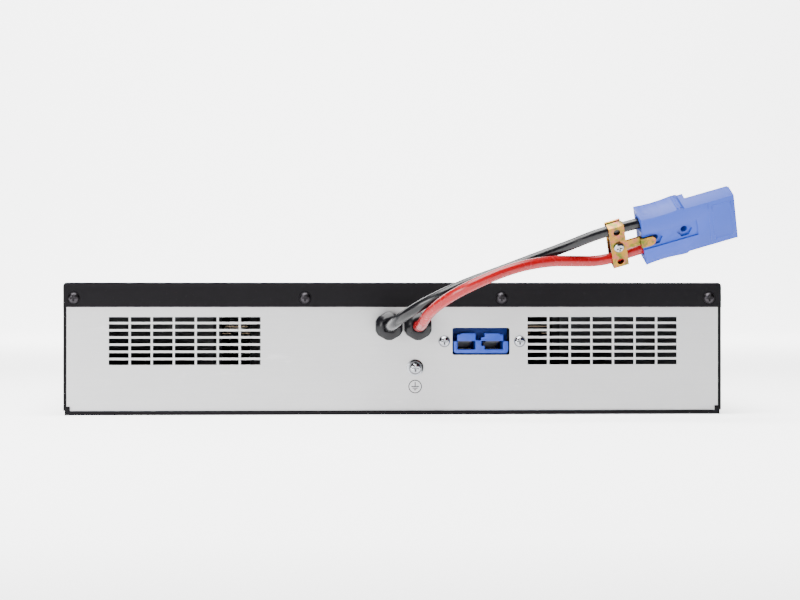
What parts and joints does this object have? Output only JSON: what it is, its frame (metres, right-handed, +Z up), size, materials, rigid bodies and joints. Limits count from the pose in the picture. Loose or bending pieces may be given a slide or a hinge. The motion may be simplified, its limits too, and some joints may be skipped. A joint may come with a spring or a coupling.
{
  "type": "server rack battery",
  "caption": "Two-unit rack battery cabinet with vented steel rear panel, panel-mounted DC connector, and a red and a black lead ending in a matching plug.",
  "frame": {"origin": "on the supporting surface, under the middle of the cabinet without its free cables and plug", "axes": "+X to the right seen from the rear, +Y from the rear panel towards the front bezel, +Z up"},
  "size_m": [0.439, 0.5385, 0.1498],
  "materials": {
    "black_powder_coat": "fine satin powder coat",
    "bare_steel": "bare zinc-coated sheet, fine horizontal grain",
    "black_moulding": "fine moulded texture",
    "zinc_steel": "bright zinc plate",
    "black_screw": "black oxide, slightly oily",
    "gland_nylon": "smooth black nylon",
    "gland_rubber": "soft black rubber",
    "blue_connector": "smooth moulded blue polycarbonate",
    "silver_contact": "silver plated copper",
    "yellow_zinc": "yellow chromate over zinc",
    "black_insulation": "smooth black cable jacket",
    "red_insulation": "smooth red cable jacket",
    "battery_grey": "dark grey moulded battery case",
    "tinned_copper": "tinned copper",
    "grey_foam": "closed-cell foam"
  },
  "bodies": {
    "cabinet": {"base_pan": "black_powder_coat", "battery_case_1": "battery_grey", "battery_case_2": "battery_grey", "battery_case_3": "battery_grey", "battery_case_4": "battery_grey", "battery_case_5": "battery_grey", "battery_case_6": "battery_grey", "battery_case_7": "battery_grey", "battery_case_8": "battery_grey", "battery_lids": "black_moulding", "battery_terminals": "tinned_copper", "bezel_clips": "black_moulding", "black_cable": "black_insulation", "black_inner_leads": "black_insulation", "bus_block": "black_moulding", "bus_screws": "zinc_steel", "clamp_back_strap": "yellow_zinc", "clamp_front_strap": "yellow_zinc", "clamp_nut": "zinc_steel", "clamp_screw": "zinc_steel", "cover_screws": "black_screw", "foam_pads": "grey_foam", "front_panel": "bare_steel", "fuse_holders": "black_moulding", "ground_lock_washer": "zinc_steel", "ground_nut": "zinc_steel", "ground_screw": "zinc_steel", "ground_washer": "zinc_steel", "hold_down_straps": "bare_steel", "negative_bus_bar": "tinned_copper", "negative_gland_body": "gland_nylon", "negative_gland_cap": "gland_nylon", "negative_gland_locknut": "gland_nylon", "negative_gland_seal": "gland_rubber", "plug_contacts": "silver_contact", "plug_housing": "blue_connector", "plug_springs": "zinc_steel", "positive_bus_bar": "tinned_copper", "positive_gland_body": "gland_nylon", "positive_gland_cap": "gland_nylon", "positive_gland_locknut": "gland_nylon", "positive_gland_seal": "gland_rubber", "rear_panel": "bare_steel", "receptacle_bracket": "bare_steel", "receptacle_contacts": "silver_contact", "receptacle_housing": "blue_connector", "receptacle_nuts": "zinc_steel", "receptacle_screws": "zinc_steel", "receptacle_springs": "zinc_steel", "red_cable": "red_insulation", "red_inner_leads": "red_insulation", "rivet_nuts": "zinc_steel", "series_links": "tinned_copper", "side_screws": "black_screw", "string_fuses": "zinc_steel", "top_cover": "black_powder_coat"},
    "bezel": {"front_bezel": "black_moulding", "bezel_studs": "zinc_steel"}
  },
  "joints": [
    {"name": "bezel_pull", "type": "slide", "parent": "cabinet", "child": "bezel", "axis": [0, 1, 0], "range_m": [0, 0.06]}
  ]
}
